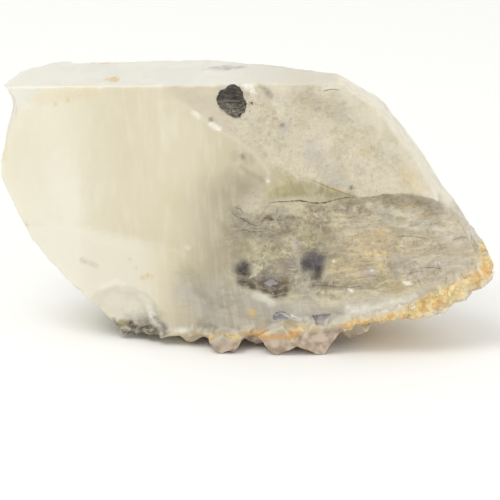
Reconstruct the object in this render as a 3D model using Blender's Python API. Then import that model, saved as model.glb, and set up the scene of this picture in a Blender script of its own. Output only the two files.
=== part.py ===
"""Quartz specimen: one thick tabular crystal, milky at one end and clear at the other, grown together
with a rough crust along its lower rim and a few small crystals that hang below it.

Everything grew as one piece, so it is one solid. X runs along the length, the broad front face looks
towards -Y, Z is up, and the piece stands on z = 0 on a flat broken face and on the small crystals' tips.
"""

import math
import random

import bmesh
import bpy
from mathutils import Matrix, Vector
from mathutils.bvhtree import BVHTree

MM = 0.001
NODE = "quartz_crystal"

# Driving dimensions. Lengths are in millimetres and angles in degrees.
CENTRE = Vector((0, 0, 28))  # the point that every face's distance is measured from
BLOCK = 160  # side of the raw block that the faces are cut from
SEED = 7
REST_SLAB = 12  # thickness of what is cut off below the resting plane
ON_PLANE = 0.0001  # a point this close to a cutting plane lies on it
SLIVER = 0.02  # points and edges closer or shorter than this are merged
FLAT = 0.5  # faces that meet at less than this angle are one face
BALL_ROUNDS = 3  # how often the faces of a break's ball are split in four

# Each flat face of the crystal: the way it looks, as azimuth from +X and elevation, then its distance.
CRYSTAL_FACES = {
    "front": (-96, 10, 6.4),
    "front_low": (-99, 0, 9.2),
    "top": (-113, 82, 25.2),
    "rim_top": (0, 55, 31.6),
    "rim_middle": (-6, 40, 33.0),
    "rim_low": (-8, 33, 34.3),
    "under_tip": (0, -60, 32.8),
    "under_right": (-20, -76, 26.0),
    "left_edge": (156, -3, 44.8),
    "left_low": (176, -26, 42.0),
    "left_slope": (172, -40, 37.4),
    "left_foot": (178, -47, 36.0),
    "back": (87, 8, 15.5),
    "back_right": (36, 22, 29.6),
    "back_right_low": (32, -12, 38.0),
    "back_left": (124, 6, 36.5),
    "back_top_left": (122, 36, 41.0),
    "back_top_right": (68, 48, 25.0),
    "back_low": (92, -34, 27.5),
    "underside": (-90, -74, 26.2),
    "rest": (0, -90, 28.0),
}

# The clear end's front is set back under a ledge: the room cut away lies in front of the floor
# and below the roof.
WINDOW_ROOM = {"floor": (87, -12, -6.1), "roof": (-106, 75, 3.4)}
# An oblique facet chamfers the ledge where the two zones meet.
LEDGE_CHAMFER = {"main": (79, 9, -3.2), "left_end": (99, 5, -6.4), "above_roof": (74, -75, -3.3)}

# A growth step crosses the back in the same way.
BACK_STEP_ROOM = {"floor": (-93, -8, -14.5), "side": (-160, -52, -2.0)}

# Shell-shaped breaks: the centre of the ball that leaves the hollow, and its radius.
SHELL_BREAKS = {
    "left_foot_chip": ((-27.2, -15.9, 3.4), 14.0),
    "top_left_chip": ((-60.8, 0.5, 45.6), 14.0),
    "back_chip": ((-12.0, 31.5, 49.0), 20.0),
    "back_foot_chip": ((20.0, 30.0, 4.0), 15.0),
}

# Small blocky crystals below the rim: each one's lowest corner, its edge length, and how it is
# turned about Z, leaned about X and rolled about Y.
BASE_SPREAD = 100  # angle between the edges that meet at the lowest corner
BASE_CRYSTALS = (
    ((-5.8, -11.6, -0.2), 3.8, 90, -30, 8),
    ((-3.2, -11.0, -0.1), 3.4, 70, -25, -12),
    ((5.0, -12.4, -0.3), 5.6, 88, -36, 14),
    ((14.6, -12.2, -0.3), 6.2, 92, -34, -18),
    ((1.5, -7.5, 0.2), 4.6, 80, -15, 0),
    ((9.5, -6.5, -0.2), 5.4, 100, -10, -8),
    ((20.0, -7.5, 1.4), 5.0, 75, -20, 10),
    ((22.5, 6.0, -0.3), 7.0, 85, 0, -6),
    ((-12.0, -6.8, 0.2), 3.6, 95, -20, 6),
)

# The crust follows the lower rim from the left foot to the right-hand tip, then a little way up.
RIM_PATH = (
    (-25.0, -5.5, 1.6),
    (-14.0, -9.0, 2.6),
    (0.0, -11.2, 3.6),
    (16.0, -12.4, 4.6),
    (30.0, -13.2, 7.6),
    (40.0, -12.6, 12.0),
    (47.0, -9.8, 17.0),
    (46.8, -5.0, 20.5),
    (45.0, -4.0, 24.0),
)
CRUST_STEP = 1.3  # spacing of the crust's grains along the rim
CRUST_SPREAD = 82  # angle between the edges of a crust grain
CRUST_THIN = 1.2  # edge of a crust grain at the left foot
CRUST_THICK = 3.0  # edge of a crust grain at the right-hand tip
CRUST_SIZES = (0.8, 1.2)  # a grain's own size, as a share of the size that its place gives
CRUST_TURN = 120  # a grain turns by up to this much about Z
CRUST_LEAN = 180  # and leans by up to this much about X
CRUST_ROLL = 60  # and rolls by up to this much about Y, either way
CRUST_SCATTER = 0.45  # how far a grain may lie from the path, each way, as a share of its edge
UNDERSIDE_GRAINS = 40
UNDERSIDE_EDGE = (1.8, 3.2)
UNDERSIDE_X = (-16.0, 45.0)
UNDERSIDE_Y = (-10.0, 12.0)
UNDERSIDE_TOP = 18.0  # no grain lies higher than this
BARE_BELOW = 0.6  # the flat resting face and what is this close to it stays bare


def direction(azimuth, elevation):
    """The unit vector that looks along an azimuth from +X and an elevation above the horizon."""
    a, e = math.radians(azimuth), math.radians(elevation)
    return Vector((math.cos(e) * math.cos(a), math.cos(e) * math.sin(a), math.sin(e)))


def new_object(name, bm):
    """An object in the scene that holds the bmesh, which is freed."""
    bmesh.ops.recalc_face_normals(bm, faces=bm.faces)
    mesh = bpy.data.meshes.new(name)
    bm.to_mesh(mesh)
    bm.free()
    thing = bpy.data.objects.new(name, mesh)
    bpy.context.collection.objects.link(thing)
    return thing


def faceted_solid(name, faces):
    """A convex solid: a block with everything outside each face cut away."""
    bm = bmesh.new()
    bmesh.ops.create_cube(bm, size=BLOCK * MM, matrix=Matrix.Translation(CENTRE * MM))
    for azimuth, elevation, distance in faces.values():
        outward = direction(azimuth, elevation)
        cut = bmesh.ops.bisect_plane(
            bm,
            geom=bm.verts[:] + bm.edges[:] + bm.faces[:],
            dist=ON_PLANE * MM,
            plane_co=(CENTRE + outward * distance) * MM,
            plane_no=outward,
            clear_outer=True,
        )
        rim = [item for item in cut["geom_cut"] if isinstance(item, bmesh.types.BMEdge)]
        if rim:
            bmesh.ops.contextual_create(bm, geom=rim)
    return new_object(name, bm)


def ball(name, centre, radius):
    """A round cutter that leaves a shell-shaped break."""
    bm = bmesh.new()
    place = Matrix.Translation(Vector(centre) * MM)
    bmesh.ops.create_icosphere(bm, subdivisions=BALL_ROUNDS, radius=radius * MM, matrix=place)
    return new_object(name, bm)


def block_below(height):
    """A slab that reaches down from a height, used to trim what hangs below the resting plane."""
    bm = bmesh.new()
    place = Matrix.Translation(Vector((0, 0, height - REST_SLAB / 2)) * MM)
    size = Matrix.Diagonal((BLOCK * MM, BLOCK * MM, REST_SLAB * MM, 1))
    bmesh.ops.create_cube(bm, size=1, matrix=place @ size)
    return new_object("below_rest_plane", bm)


def rhomb_edges(edge, spread, turn, lean, roll):
    """Three equal edges that rise from a corner, a third of a turn apart, with one angle between them."""
    flat = 2 * math.sin(math.radians(spread) / 2) / math.sqrt(3)
    rise = math.sqrt(1 - flat * flat)
    tilt = Matrix.Rotation(math.radians(roll), 3, "Y") @ Matrix.Rotation(math.radians(lean), 3, "X")
    edges = []
    for third in range(3):
        a = math.radians(turn + 120 * third)
        edges.append(tilt @ Vector((flat * math.cos(a), flat * math.sin(a), rise)) * edge)
    return edges


def rhomb(name, corner, edges):
    """A blocky crystal with six rhombic faces, from one corner and the edges that leave it."""
    bm = bmesh.new()
    for i in (0, 1):
        for j in (0, 1):
            for k in (0, 1):
                bm.verts.new((Vector(corner) + edges[0] * i + edges[1] * j + edges[2] * k) * MM)
    bmesh.ops.convex_hull(bm, input=bm.verts)
    bmesh.ops.dissolve_limit(bm, angle_limit=math.radians(FLAT), verts=bm.verts, edges=bm.edges)
    return new_object(name, bm)


def combine(target, tool, operation):
    """Joins the tool to the target or cuts it away, and removes the tool."""
    step = target.modifiers.new(tool.name, "BOOLEAN")
    step.operation = operation
    step.solver = "EXACT"
    step.object = tool
    depsgraph = bpy.context.evaluated_depsgraph_get()
    result = bpy.data.meshes.new_from_object(target.evaluated_get(depsgraph))
    target.modifiers.remove(step)
    target.data = result
    bpy.data.objects.remove(tool)


def rim_points():
    """Evenly spaced points along the rim path, each with its share of the whole length."""
    points = [Vector(p) for p in RIM_PATH]
    lengths = [(b - a).length for a, b in zip(points, points[1:])]
    count = int(sum(lengths) / CRUST_STEP)
    for n in range(count):
        left = n * CRUST_STEP
        for a, b, length in zip(points, points[1:], lengths):
            if left <= length:
                yield a.lerp(b, left / length), n / count
                break
            left -= length


def surface_of(thing):
    """A search tree of an object's faces, in metres."""
    bm = bmesh.new()
    bm.from_mesh(thing.data)
    tree = BVHTree.FromBMesh(bm)
    bm.free()
    return tree


def grain_at(centre, edge, rng):
    """A crust grain that is turned at random about its centre, as (corner, edges)."""
    turns = (rng.uniform(0, CRUST_TURN), rng.uniform(0, CRUST_LEAN), rng.uniform(-CRUST_ROLL, CRUST_ROLL))
    edges = rhomb_edges(edge, CRUST_SPREAD, *turns)
    return centre - (edges[0] + edges[1] + edges[2]) / 2, edges


def crust_grains(crystal, rng):
    """The crust's grains, half sunk in the crystal: along the rim, then over the underside."""
    surface = surface_of(crystal)
    grains = []
    for at, share in rim_points():
        edge = (CRUST_THIN + (CRUST_THICK - CRUST_THIN) * share) * rng.uniform(*CRUST_SIZES)
        scatter = Vector([rng.uniform(-CRUST_SCATTER, CRUST_SCATTER) for axis in range(3)])
        on_face = surface.find_nearest((at + scatter * edge) * MM)[0] / MM
        grains.append(grain_at(on_face, edge, rng))
    for n in range(UNDERSIDE_GRAINS):
        below = Vector((rng.uniform(*UNDERSIDE_X), rng.uniform(*UNDERSIDE_Y), -REST_SLAB))
        edge = rng.uniform(*UNDERSIDE_EDGE)
        hit = surface.ray_cast(below * MM, Vector((0, 0, 1)))[0]
        if hit and BARE_BELOW * MM < hit.z < UNDERSIDE_TOP * MM:
            grains.append(grain_at(hit / MM, edge, rng))
    return grains


def crystal_material():
    material = bpy.data.materials.new("milky_quartz")
    material.use_nodes = True
    shader = material.node_tree.nodes["Principled BSDF"]
    shader.inputs["Base Color"].default_value = (0.78, 0.70, 0.55, 1)
    shader.inputs["Roughness"].default_value = 0.22
    shader.inputs["Metallic"].default_value = 0.0
    shader.inputs["IOR"].default_value = 1.54
    shader.inputs["Transmission Weight"].default_value = 0.35
    return material


def shells_of(bm):
    """The mesh's closed shells, each as the list of its faces."""
    left, shells = set(bm.faces), []
    while left:
        waiting, shell = [left.pop()], []
        while waiting:
            face = waiting.pop()
            shell.append(face)
            near = {other for edge in face.edges for other in edge.link_faces} & left
            left -= near
            waiting.extend(near)
        shells.append(shell)
    return shells


def tidy_mesh(thing):
    """Removes what joining leaves: slivers, doubled points, and the walls of sealed pores."""
    bm = bmesh.new()
    bm.from_mesh(thing.data)
    bmesh.ops.remove_doubles(bm, verts=bm.verts, dist=SLIVER * MM)
    bmesh.ops.dissolve_degenerate(bm, dist=SLIVER * MM, edges=bm.edges)
    bmesh.ops.triangulate(bm, faces=bm.faces)
    outer = max(shells_of(bm), key=len)
    bmesh.ops.delete(bm, geom=list(set(bm.faces) - set(outer)), context="FACES")
    bm.to_mesh(thing.data)
    bm.free()


def centre_over_origin(thing):
    """Shifts the mesh so that the middle of its bounding box stands over the origin."""
    corners = [Vector(corner) for corner in thing.bound_box]
    lows = [min(corner[axis] for corner in corners) for axis in range(3)]
    highs = [max(corner[axis] for corner in corners) for axis in range(3)]
    shift = Vector((-(lows[0] + highs[0]) / 2, -(lows[1] + highs[1]) / 2, -lows[2]))
    thing.data.transform(Matrix.Translation(shift))


def build():
    rng = random.Random(SEED)
    crystal = faceted_solid(NODE, CRYSTAL_FACES)
    combine(crystal, faceted_solid("window_room", WINDOW_ROOM), "DIFFERENCE")
    combine(crystal, faceted_solid("ledge_chamfer", LEDGE_CHAMFER), "DIFFERENCE")
    combine(crystal, faceted_solid("back_step_room", BACK_STEP_ROOM), "DIFFERENCE")
    for name, (centre, radius) in SHELL_BREAKS.items():
        combine(crystal, ball(name, centre, radius), "DIFFERENCE")
    grains = crust_grains(crystal, rng)
    for n, (corner, edge, turn, lean, roll) in enumerate(BASE_CRYSTALS):
        edges = rhomb_edges(edge, BASE_SPREAD, turn, lean, roll)
        combine(crystal, rhomb(f"base_crystal_{n}", corner, edges), "UNION")
    for n, (corner, edges) in enumerate(grains):
        combine(crystal, rhomb(f"grain_{n}", corner, edges), "UNION")
    combine(crystal, block_below(0), "DIFFERENCE")
    tidy_mesh(crystal)
    centre_over_origin(crystal)
    crystal.data.materials.clear()
    crystal.data.materials.append(crystal_material())


for thing in list(bpy.data.objects):
    bpy.data.objects.remove(thing)
build()
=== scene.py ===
"""Looks of the quartz specimen: the skin and clarity of the crystal, what is sealed in its clear end,
the flakes and the ore grain set into its front, and the crust along its lower rim.

Places and lengths are in millimetres in the part's own frame: X along the length, the broad front
face towards -Y, and Z up from the surface that the piece stands on.
"""

import math
import random

import bmesh
import bpy
import numpy as np
from mathutils import Matrix, Vector
from mathutils.bvhtree import BVHTree


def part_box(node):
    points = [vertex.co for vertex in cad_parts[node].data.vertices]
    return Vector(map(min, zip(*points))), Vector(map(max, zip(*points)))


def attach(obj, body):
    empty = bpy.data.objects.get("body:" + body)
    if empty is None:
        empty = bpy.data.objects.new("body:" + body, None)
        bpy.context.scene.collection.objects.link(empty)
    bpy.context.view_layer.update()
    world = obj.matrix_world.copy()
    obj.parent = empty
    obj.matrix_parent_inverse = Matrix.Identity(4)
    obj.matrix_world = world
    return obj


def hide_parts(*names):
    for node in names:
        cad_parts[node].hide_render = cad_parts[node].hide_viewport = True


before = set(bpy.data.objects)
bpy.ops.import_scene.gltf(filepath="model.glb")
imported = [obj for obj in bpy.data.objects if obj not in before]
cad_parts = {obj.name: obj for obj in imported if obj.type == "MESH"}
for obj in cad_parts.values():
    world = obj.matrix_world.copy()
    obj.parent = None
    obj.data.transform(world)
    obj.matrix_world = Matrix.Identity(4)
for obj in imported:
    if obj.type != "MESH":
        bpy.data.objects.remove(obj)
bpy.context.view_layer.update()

MM = 0.001
NODE = "quartz_crystal"

# Camera and studio
CAMERA_TARGET = Vector((0.43, -3.06, 18.0))
CAMERA_ELEVATION = 19
CAMERA_DISTANCE = 800
CLIP_END = 20  # metres, past the floor's far edge
LENS = 288
SENSOR = 36
FLOOR_RADIUS = 6000

# The photo is this many pixels wide and high.
PHOTO = 500
# The *_PICKED tables give places as they look in the photo: millimetres across and up from this column
# and row, at this many pixels each. Where they lie on the crystal is worked out through the camera.
PHOTO_ZERO = (247.7, 359.2)
PHOTO_SCALE = (5.0497, 5.189)
# The *_CROP outlines were picked on a zoomed crop of the photo: its left column, top row and zoom.
CROP_LEFT, CROP_TOP, CROP_ZOOM = 210, 50, 5.228

# The front is lit so brightly that this share of a colour, as the surface's own, looks like the colour.
LIGHT_SHARE = 0.9

# How clear quartz bends light and tints it, and the shares of light that each kind of surface lets in.
QUARTZ_IOR = 1.54
QUARTZ_TINT, QUARTZ_DENSITY = (0.80, 0.74, 0.58, 1), 50
WINDOW_CLEAR, LEDGE_CLEAR, BACK_CLEAR, PORT_CLEAR = 0.45, 0.25, 0.5, 0.95

# The skin is an even net of quads of this size.
VOXEL = 0.43

# A look straight through the front bends this way as it enters the crystal.
INTO = Vector((0, 0.955, -0.297))

# The milky end stops at this line on the front: heights, and x at each. It is sharp where a healed
# crack ends it and fades out lower down.
MILK_EDGE_Z = (0, 9, 13, 22, 29, 33, 35, 37, 40, 42.7, 45.5, 47.4, 49.5, 54)
MILK_EDGE_X = (-2, 5, -1.8, -2.6, -2.2, 2.8, 4.6, 4.6, 2.2, -2.6, -6.8, -11, -13.5, -19)

# The milky end's lower face starts at this shallow step: x, and the height there.
ARC_X = (-44, -38, -32, -29, -22.6, -17, -12.7, -8, -3)
ARC_Z = (24.4, 24.3, 23.9, 23, 21.9, 20.6, 19.1, 16.4, 13.6)

# The clear window on the front: x, and the heights of its upper and lower edges there.
WINDOW_X = (-6, 2, 10, 18, 21.5, 27, 34, 38, 41.4, 46)
WINDOW_TOP = (29.7, 30.2, 30.1, 30.1, 31.5, 32.6, 31.8, 30.8, 29.5, 28)
WINDOW_LOW = (15.0, 12.5, 10.6, 11.0, 11.4, 12.0, 13.2, 14.4, 16.0, 18.5)

# Strokes of colour on the front. Each is a half width and a strength, then across and height of each
# point: x on the crystal's front in a *_STROKES table, and as seen in the photo in a *_PICKED one.
# In the two white tables the small, strong spots are mostly painted glints; the longer strokes are pale
# wisps.
WHITE_AND_GLINT_STROKES = (
    (0.9, 0.4, 24, 29.7, 28, 28.6, 31.7, 27.7, 36.3, 25.9, 41.6, 22.6),
    (0.5, 0.35, 25.5, 27.4, 29, 25.8, 33.4, 25.2),
    (0.3, 0.8, -10.7, 47.2, -10.2, 46.7, -9.6, 46.5),
    (0.3, 0.8, -7.2, 45.1, -6.3, 44.4, -5.5, 44.1),
    (1.2, 0.25, 29.7, 19.4, 34.1, 19.4, 38.3, 19.2, 41.3, 19.4),
    (0.8, 0.5, 1.8, 11.5, 4.8, 10.3),
    (0.25, 0.9, 30.9, 14.8, 31.5, 14.6),
    (0.2, 0.9, 32, 14.7, 32.3, 14.5),
    (0.3, 0.5, 14.7, 52.4, 16.2, 53, 17.6, 53.1),
    (0.25, 0.9, 8.8, 7.7, 10.2, 7),
    (0.3, 0.6, 11.6, 7.4, 12.4, 6.6),
    (3.2, 0.2, -36.7, 36, -34.6, 28),
    (1.0, 0.16, -16.9, 48.6, -16.4, 40.5),
    (0.9, 0.14, -14.6, 49.1, -14.8, 42.5),
    (1.4, 0.35, -45.8, 49.6, -44.4, 47.8),
)
WHITE_AND_GLINT_PICKED = (
    (0.3, 0.18, -12.6, 48.9, -7, 45, -4.9, 43.6, -1.6, 41.8, 1.2, 39.6, 3.2, 37.4, 4.2, 35.8, 4.2, 34.2),
    (0.35, 0.7, 3.9, 34.5, 4.0, 34.2),
    (0.5, 0.9, -0.7, 52.7, 0.6, 52.5, 1.1, 51.2),
    (0.9, 0.25, 23.6, 30.1, 25.9, 28.5, 28.9, 27, 32.7, 25.8, 36.1, 25, 38.8, 23.8, 41.4, 22.3),
    (0.5, 0.25, 20.6, 25.9, 25.1, 25.8, 28.1, 25.3),
    (1.3, 0.6, 20.2, 9.3, 26.2, 9.4, 32.5, 10.6),
    (0.25, 0.9, 17.1, 18.9, 17.3, 18.7),
    (0.2, 0.9, 24.5, 17.2, 24.6, 17),
    (0.25, 0.9, 20.2, 13.4, 20.6, 13.2),
    (0.2, 0.9, 15.7, 7.9, 15.8, 7.7),
    (0.3, 0.6, 18.5, 29.3, 19, 29.2),
    (0.9, 0.4, -28.6, 13.8, -25.6, 14.8, -24.4, 13.6),
    (0.6, 0.6, -21, 12.2, -19.9, 11.2, -19.2, 8.6),
    (0.5, 0.5, -18.8, 7.6, -17.2, 5.6),
    (1.6, 0.35, -27, 11.6, -22.5, 10),
    (0.35, 0.14, -43.4, 26.2, -37.7, 25.9, -32.4, 25.3, -29.3, 24.4, -22.5, 23.1, -16.8, 21.6, -12.7, 20),
    (0.3, 0.4, -12.2, 21.8, -11.6, 21.4),
    (1.0, 0.3, 33.5, 33.6, 39, 28.4, 43, 22.8),
)
OCHRE_STROKES = (
    (0.5, 0.6, 31.6, 36.9, 32.6, 35.4, 34.3, 33.6),
    (1.6, 0.3, 30.8, 36.2, 33.1, 33.5),
    (0.4, 0.7, 25.2, 20.9, 25.6, 20.2),
    (0.3, 0.8, 26.9, 20.5, 27, 20.3),
    (0.4, 0.7, 26.3, 18, 26.6, 17.4),
    (0.4, 0.6, 26.9, 16.7, 27, 16.4),
    (0.4, 0.6, 16.7, 17.8, 17.3, 17.6),
    (0.5, 0.5, 18.7, 17.3, 20.4, 17.2),
    (0.4, 0.5, 21.5, 17.1, 22.2, 16.2),
    (2.2, 0.25, 17.4, 17.6, 22, 17),
    (2.4, 0.25, 27.5, 23.4, 23.4, 22.2, 22.4, 19.4),
    (0.3, 0.8, -21.4, 1.3, -18.6, 1.9),
    (0.7, 0.5, 6.9, 6.2, 9.4, 5.5, 14.4, 5.9),
    (0.25, 0.6, -19.2, 14.3, -19.1, 14.2),
    (0.3, 0.6, -38.2, 48.2, -38, 48.1),
    (0.3, 0.6, -35.9, 49.1, -35.5, 48.8),
    (1.5, 0.2, -41, 49.6, -36, 50, -31.5, 50.6),
    (0.25, 0.8, -44.1, 24, -44, 23.9),
    (0.5, 0.3, -48.2, 40.2, -48.6, 37.2),
)
OCHRE_PICKED = (
    (0.5, 0.5, 24.6, 25.1, 26.6, 24.2),
    (0.4, 0.8, 23.7, 20.5, 24.2, 20.4),
    (0.8, 0.4, 15.8, 32.5, 17.8, 32.4),
    (0.9, 0.25, 23.8, 39, 22.4, 40),
    (0.75, 0.9, 0.6, 9.2, 0.8, 9),
    (1.2, 0.3, 28.2, 14.2, 33, 14.0),
    (0.3, 0.8, -20.9, 15.7, -20.6, 15.6),
    (0.3, 0.8, -19.9, 16.2, -19.7, 15.9),
    (0.25, 0.8, -22.1, 17.6, -22, 17.5),
    (0.25, 0.6, -23.3, 19.2, -23.2, 19),
)
SMOKE_STROKES = (
    (0.6, 0.5, -3.1, 28.8, -2.2, 27.4, -1, 26),
    (0.6, 0.5, -2.5, 25.2, 0.1, 23.8),
    (1.8, 0.35, -2.4, 27.6, 1.6, 24.2, 6, 24.3),
    (1.6, 0.25, -3.4, 24.2, -1.2, 20.6),
    (1.8, 0.25, -2.6, 28, -1.6, 23.5, -2, 18),
    (0.5, 0.7, 2.2, 14.8, 3.4, 16.4, 4.4, 17.8),
    (0.9, 1.0, -1.2, 14.6, 0.2, 14, 1.9, 13.4, 3.6, 12.7, 5.4, 12.2, 7, 12.4),
    (0.9, 0.9, 0.8, 14.2, 3, 13.8, 6.8, 13.4),
    (0.6, 0.8, 1.2, 14.8, 3.9, 14.6, 7.7, 14.3),
    (0.5, 0.35, 22, 29, 25, 28.4, 28, 27.4),
    (0.8, 0.3, 14.5, 32.2, 17.5, 31.8, 20.5, 31.8),
    (0.7, 0.4, 28.4, 18.6, 29.4, 15.6),
    (0.9, 0.6, 27.4, 31.2, 29.3, 30.3, 28.1, 29.7),
    (0.8, 0.5, 30.6, 31, 34, 30.4, 37.8, 29.4, 39.4, 29),
    (1.2, 0.4, 29, 19.2, 31, 18.4),
    (1.0, 0.4, 1.6, 25.6, 3.4, 26.2),
    (0.5, 0.5, 2.4, 53.2, 3.4, 52.2, 4.6, 50.8),
    (0.7, 1.0, -27, 3.3, -26, 1.9, -25, 1.6),
    (0.9, 1.0, -25.2, 1.8, -23.8, 1.5),
    (0.8, 1.0, -23.9, 3.2, -22.8, 1.8),
    (1.3, 1.0, -22.8, 2.2, -20.6, 2.2, -18.8, 2.4, -17.2, 2.9),
    (1.2, 0.7, -20.8, 3.6, -18.6, 4.4, -17.4, 3.7),
    (2.4, 0.3, -23, 4.2, -19, 5.4),
)
SMOKE_PICKED = (
    (0.5, 0.6, -0.6, 26.6, 1.6, 25.3),
    (0.4, 0.9, 2.8, 26.6, 3.9, 27.4, 5, 27.1, 4.3, 26.4),
    (0.25, 0.9, 5.9, 26.7, 6.4, 27.3, 7, 26.8, 6.4, 26.3),
    (0.8, 0.5, 9.4, 26.7, 9.9, 26.4),
    (0.8, 0.5, 17.7, 29.5, 19.8, 29.4),
    (0.8, 0.4, 36.1, 30.1, 37.6, 27.1),
    (0.6, 0.4, 32.7, 26.2, 36.5, 26.4),
    (0.4, 0.4, 41, 23.1, 43.3, 23.8),
    (0.5, 0.6, 32.3, 17.9, 32.7, 17.2),
    (0.5, 0.45, 13.4, 14.2, 19, 13.9, 24, 14.2),
    (0.3, 0.5, 16.8, 11.7, 18, 11.6),
    (1.1, 0.18, -2.4, 39, 0.4, 38.6),
    (0.5, 0.25, -1.4, 37, 1.4, 35.4, 3.6, 34.2),
    (0.35, 0.6, -1.1, 39.2, -0.9, 38.9),
    (1.6, 0.12, -3, 35.6, 0, 33.4),
    (0.3, 0.6, -7.4, 46.1, -7.3, 45.9),
    (0.35, 0.9, 20.5, 33, 20.7, 32.9),
    (0.3, 0.7, 6.9, 45, 7, 44.9),
    (0.3, 0.4, 12.1, 42, 12.2, 41.9),
    (0.25, 0.5, 27.6, 45.8, 27.7, 45.8),
    (2.6, 0.15, 10.6, 52, 13.5, 48.6, 17, 47.2),
    (1.8, 0.2, -12, 16.5, -8, 12.6),
    (0.9, 0.25, -10, 12.8, -5.6, 10.6),
    (0.6, 0.4, -9.6, 6.6, -7, 6),
    (0.4, 0.25, -32.8, 19, -30, 17.8),
)
LILAC_STROKES = (
    (1.2, 0.5, -21.6, 3.8, -18.6, 4.6, -17, 4),
)
LILAC_PICKED = (
    (1.4, 0.25, 12.2, 40.4, 13.8, 37.4, 16.8, 36),
    (1.0, 0.3, 16, 34.6, 20.4, 33.6),
    (2.4, 0.15, 31, 24, 38, 22, 42, 20),
    (2.4, 0.18, 30, 17.6, 38, 17),
    (0.9, 0.4, 6.9, 44.8, 7.1, 44.6),
    (0.5, 0.8, 9.7, 22.8, 9.9, 22),
    (2.2, 0.35, 0, 10.6, 6, 9.6, 12, 9.2),
    (2.0, 0.3, -13, 13, -6, 8),
    (0.8, 0.5, 22.5, 17, 24.5, 16.2),
    (1.4, 0.3, 3.4, 16, 10, 19),
)
OLIVE_STROKES = (
    (0.9, 1.0, -25.5, 3.1, -24.5, 2.8),
)
OLIVE_PICKED = (
    # The first two strokes darken the band above the crack, partly as painted shade of the step.
    (2.4, 0.7, 6, 32.4, 10, 32),
    (1.8, 0.6, 6, 35.6, 8, 34.6),
    (1.8, 0.4, 12, 24, 17, 22.6),
    (1.2, 0.4, 5.2, 21, 6, 19),
    (1.6, 0.4, 27, 27.4, 29.6, 26.6),
    (1.6, 0.35, 26, 15, 30, 13.6),
    (1.5, 0.12, 12, 49, 9, 40),
    (1.8, 0.35, -0.6, 23, 1, 21),
)
# Thin pale lines on the window, each a half width and then points as x and height.
PALE_LINES = (
    (0.06, (24.4, 29.4), (26.2, 28.3), (28.2, 27.4)),
    (0.06, (29.6, 26.9), (31.4, 26.3), (33.6, 25.9)),
    (0.05, (35.2, 25.4), (37.6, 24.9), (39.4, 23.9)),
    (0.05, (22.8, 29.4), (24.6, 28.9), (26.2, 27.9)),
    (0.05, (20.5, 25.9), (23.2, 25.7), (26, 25.8)),
    (0.05, (21.6, 26.5), (24.4, 26.2), (26.8, 26.4)),
    (0.05, (36.4, 28.8), (37.4, 27.2), (39.6, 25.4)),
    (0.06, (7.6, 17.2), (9.2, 16.9), (10.4, 17)),
    (0.05, (7.4, 16.2), (9.6, 16.1)),
    (0.05, (8.4, 29.6), (10.4, 29.4), (12, 29.5)),
    (0.05, (16.6, 28.3), (19.6, 28.5)),
    (0.05, (19, 12.2), (22.6, 12.7)),
)
# Thin dark lines, set out in the same way.
DARK_LINES = (
    (0.05, (12.6, 34.7), (14.8, 33.9), (16.8, 33.1), (19.2, 32.3), (21.6, 31.5)),
    (0.07, (-3.4, 28.2), (-2.2, 27), (-0.8, 26.6), (0.4, 25.6), (2.2, 25.3)),
    (0.06, (-2.6, 29), (-1.4, 28.4), (-0.6, 27.6)),
    (0.06, (-1.2, 24.6), (0.8, 24.1), (3.2, 24.3)),
    (0.05, (12.8, 13.9), (16.6, 13.8), (20.4, 13.6), (24, 14.2)),
    (0.05, (14.6, 52.2), (16.4, 52.6), (18.2, 52.5)),
    (0.05, (29, 23.6), (32.6, 23.9), (36, 23.2)),
    (0.05, (34, 17.6), (36.4, 17.8), (38.6, 17.5)),
    (0.05, (40.6, 23.4), (42.2, 24), (43.4, 23.7)),
)
# Stains on the top face, each as x, y, half width and half depth.
TOP_OCHRE = (
    (-26.9, 1.0, 1.4, 1.2),
    (-27.5, 9.4, 3.4, 0.7),
)
TOP_LILAC = (
    (-4.8, 3.6, 3.6, 1.2),
)
# A pale chipped facet takes the top left corner of the front, above the line between these two places.
FACET_FROM = (-40.1, 51.2)
FACET_TO = (-45.7, 46.5)

# The hollow band above the crack, as x and the height of its upper edge.
LEDGE_X = (1.5, 4.4, 8.3, 14.2, 18.2, 21.5, 22.5)
LEDGE_TOP = (29.6, 32.6, 34.6, 34.3, 33, 31.7, 30)
# The clear end is free of haze round each of these, given as x, height, half width and half height.
CLEAR_SPOTS = (
    (13.2, 18.4, 3.2, 3.8),
    (-0.7, 16.8, 1.7, 2.6),
)

# The small crystals below the rim are bare of crust up to this height: x, and the height there.
BASE_X = (-11, -2, 2, 9.4, 11, 18.6, 21)
BASE_TOP = (2.2, 2.8, 3.3, 3.4, 5.1, 5.9, 3.0)

# A rusty seam runs along the crust: its middle and half length along X, and its height.
SEAM_X, SEAM_LONG, SEAM_Z = 6.2, 6, 4.3

# The crust's line along the lower rim, and its half width at each point.
RIM_PATH = (
    (-24.6, -8.6, 1.6),
    (-13.6, -12.1, 2.6),
    (0.4, -14.3, 3.6),
    (16.4, -15.5, 4.6),
    (30.4, -16.3, 7.6),
    (40.4, -15.7, 12.0),
    (47.4, -12.9, 17.0),
    (47.2, -8.1, 20.5),
    (46.2, -7.5, 22.6),
)
RIM_WIDTH = (0.8, 0.7, 1.0, 1.2, 1.5, 2.2, 2.8, 1.8, 0.8)
TIP = 6  # the number of the path's furthest point to the right

# At the tip the crust covers all to the right of this line: height, and x there.
TIP_Z = (13, 16, 18.4, 22)
TIP_X = (41.6, 44, 45.6, 46.8)

# The crust hangs this much lower at the tip, and the left foot reaches this much further left.
TIP_DROP = 1.3
FOOT_REACH = 1.3
# Edges on the back wander by about this much.
BACK_WOBBLE = 0.9

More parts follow.
